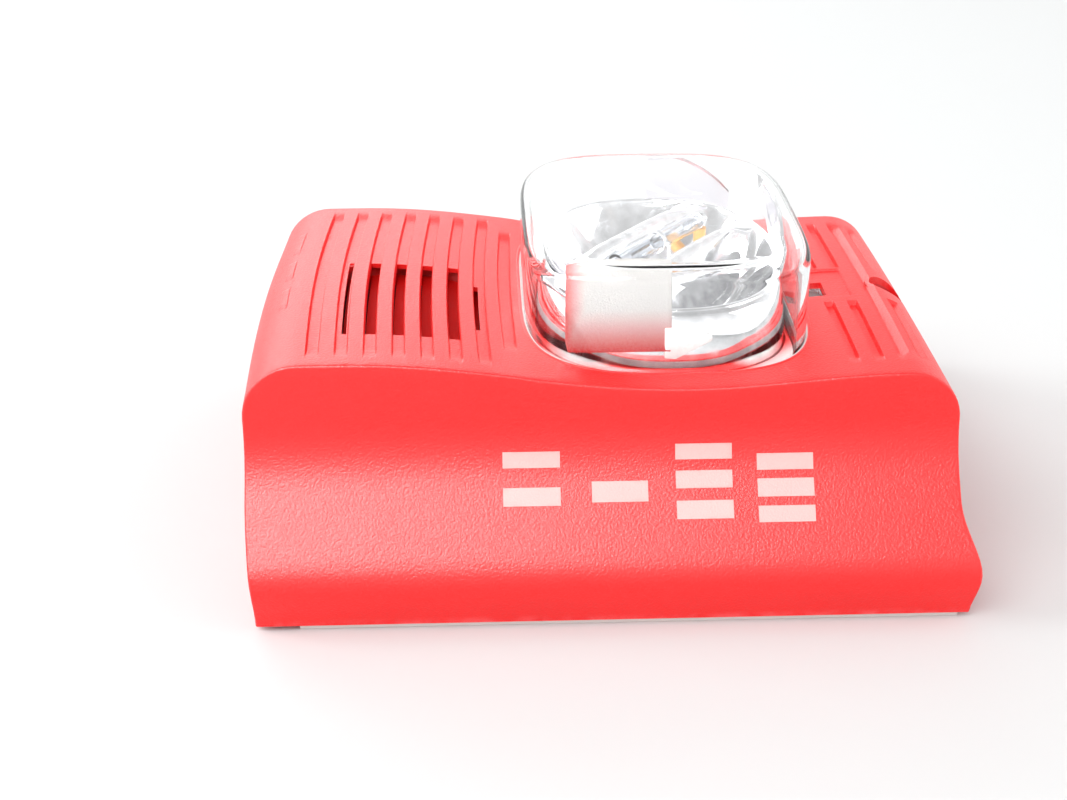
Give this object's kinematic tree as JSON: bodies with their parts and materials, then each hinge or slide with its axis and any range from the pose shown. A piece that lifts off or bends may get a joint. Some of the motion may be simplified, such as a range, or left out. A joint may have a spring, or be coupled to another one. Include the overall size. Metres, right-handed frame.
{
  "type": "horn strobe",
  "caption": "Red wall horn strobe with louvred sound grille, clear square strobe lens, captive front screw and hinged plug-in mounting plate.",
  "frame": {"origin": "middle of the back face, on the wall plane", "axes": "+Z out of the wall, +X towards the lower end with the captive screw, the hinge is at the -X end"},
  "size_m": [0.142, 0.119, 0.066],
  "materials": {
    "pale_plastic": "fine matte moulded plastic",
    "black_plastic": "satin moulded plastic",
    "dark_plastic": "fine grained moulded plastic",
    "red_plastic": "finely grained moulded plastic with a soft sheen",
    "grey_plastic": "satin moulded plastic",
    "clear_lens": "clear polished polycarbonate",
    "tube_glass": "clear glass",
    "window_clear": "clear plastic",
    "metallised": "vacuum metallised plastic",
    "zinc_steel": "zinc plated",
    "brass": "bright drawn",
    "amber_sleeve": "translucent silicone",
    "screen_mesh": "woven dust mesh",
    "foam": "closed cell foam",
    "ceramic": "fired ceramic",
    "wire_red": "insulated wire",
    "board_green": "solder masked laminate",
    "capacitor_sleeve": "shrink sleeve",
    "coil_tape": "tape over a winding",
    "copper_coil": "enamelled winding",
    "chip_black": "moulded epoxy",
    "part_tan": "ceramic chip parts"
  },
  "bodies": {
    "plate": {"mounting_plate": "pale_plastic", "terminal_block": "black_plastic", "terminal_contacts": "brass", "terminal_screws": "zinc_steel", "shorting_spring": "brass"},
    "head": {"front_housing": "red_plastic", "lens": "clear_lens", "lens_retainer": "red_plastic", "reflector": "metallised", "flash_tube": "tube_glass", "tube_electrodes": "zinc_steel", "tube_sleeves": "amber_sleeve", "trigger_band": "zinc_steel", "grille_screen": "screen_mesh", "horn_chamber": "black_plastic", "horn_gasket": "foam", "horn_diaphragm": "brass", "piezo_disc": "ceramic", "horn_leads": "wire_red", "circuit_board": "board_green", "board_screws": "zinc_steel", "storage_capacitor": "capacitor_sleeve", "trigger_transformer": "coil_tape", "inductor": "copper_coil", "power_transistor": "chip_black", "control_chips": "chip_black", "small_components": "part_tan", "candela_switch_body": "pale_plastic", "candela_window": "window_clear", "tone_switch_body": "black_plastic", "contact_pins": "black_plastic", "back_cover": "dark_plastic", "back_cover_screws": "zinc_steel"},
    "candela": {"candela_slider": "grey_plastic"},
    "tone": {"tone_switch_rotor": "pale_plastic"},
    "screw_carrier": {"screw_retainer": "pale_plastic"},
    "screw": {"mounting_screw": "zinc_steel"}
  },
  "joints": [
    {"name": "head_swing", "type": "hinge", "parent": "plate", "child": "head", "pos_m": [-0.0662, 0, 0.0032], "axis": [0, -1, 0], "range_deg": [0, 25]},
    {"name": "candela_select", "type": "slide", "parent": "head", "child": "candela", "axis": [0, 1, 0], "range_m": [-0.0065, 0.0065]},
    {"name": "tone_select", "type": "hinge", "parent": "head", "child": "tone", "pos_m": [0.038, 0.026, 0.009], "axis": [0, 0, -1], "range_deg": [-120, 120]},
    {"name": "screw_lift", "type": "slide", "parent": "head", "child": "screw_carrier", "axis": [0, 0, 1], "range_m": [0, 0.0049]},
    {"name": "screw_turn", "type": "hinge", "parent": "screw_carrier", "child": "screw", "pos_m": [0.0625, 0, 0.02], "axis": [0, 0, 1], "range_deg": [0, 2224]}
  ],
  "couplings": [
    {"joint": "screw_turn", "follows": "screw_lift", "rad_per_m": 7913.5}
  ]
}
